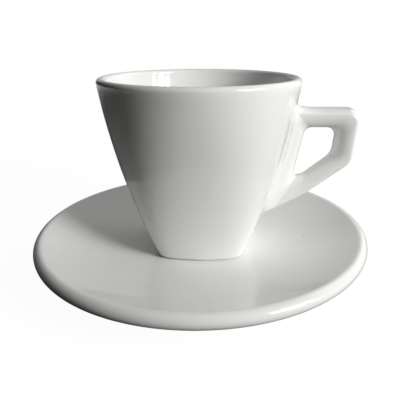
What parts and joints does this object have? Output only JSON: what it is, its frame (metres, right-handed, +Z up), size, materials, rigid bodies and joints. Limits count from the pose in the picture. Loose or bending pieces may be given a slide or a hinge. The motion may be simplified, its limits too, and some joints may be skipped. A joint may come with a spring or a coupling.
{
  "type": "espresso cup with saucer",
  "caption": "White glazed espresso cup with a square foot, round rim and closed angular handle, standing free in the flat well of a round saucer with a rolled edge.",
  "frame": {"origin": "centre of the saucer's standing plane", "axes": "+Z up along the axis of the cup and saucer, +X towards the handle"},
  "size_m": [0.115, 0.115, 0.0652],
  "materials": {
    "glaze": "gloss"
  },
  "bodies": {
    "saucer": {"saucer": "glaze"},
    "cup": {"cup_body": "glaze", "cup_handle": "glaze"}
  },
  "joints": [
    {"name": "cup_lift", "type": "slide", "parent": "saucer", "child": "cup", "axis": [0, 0, 1], "range_m": [0, 0.06]}
  ]
}
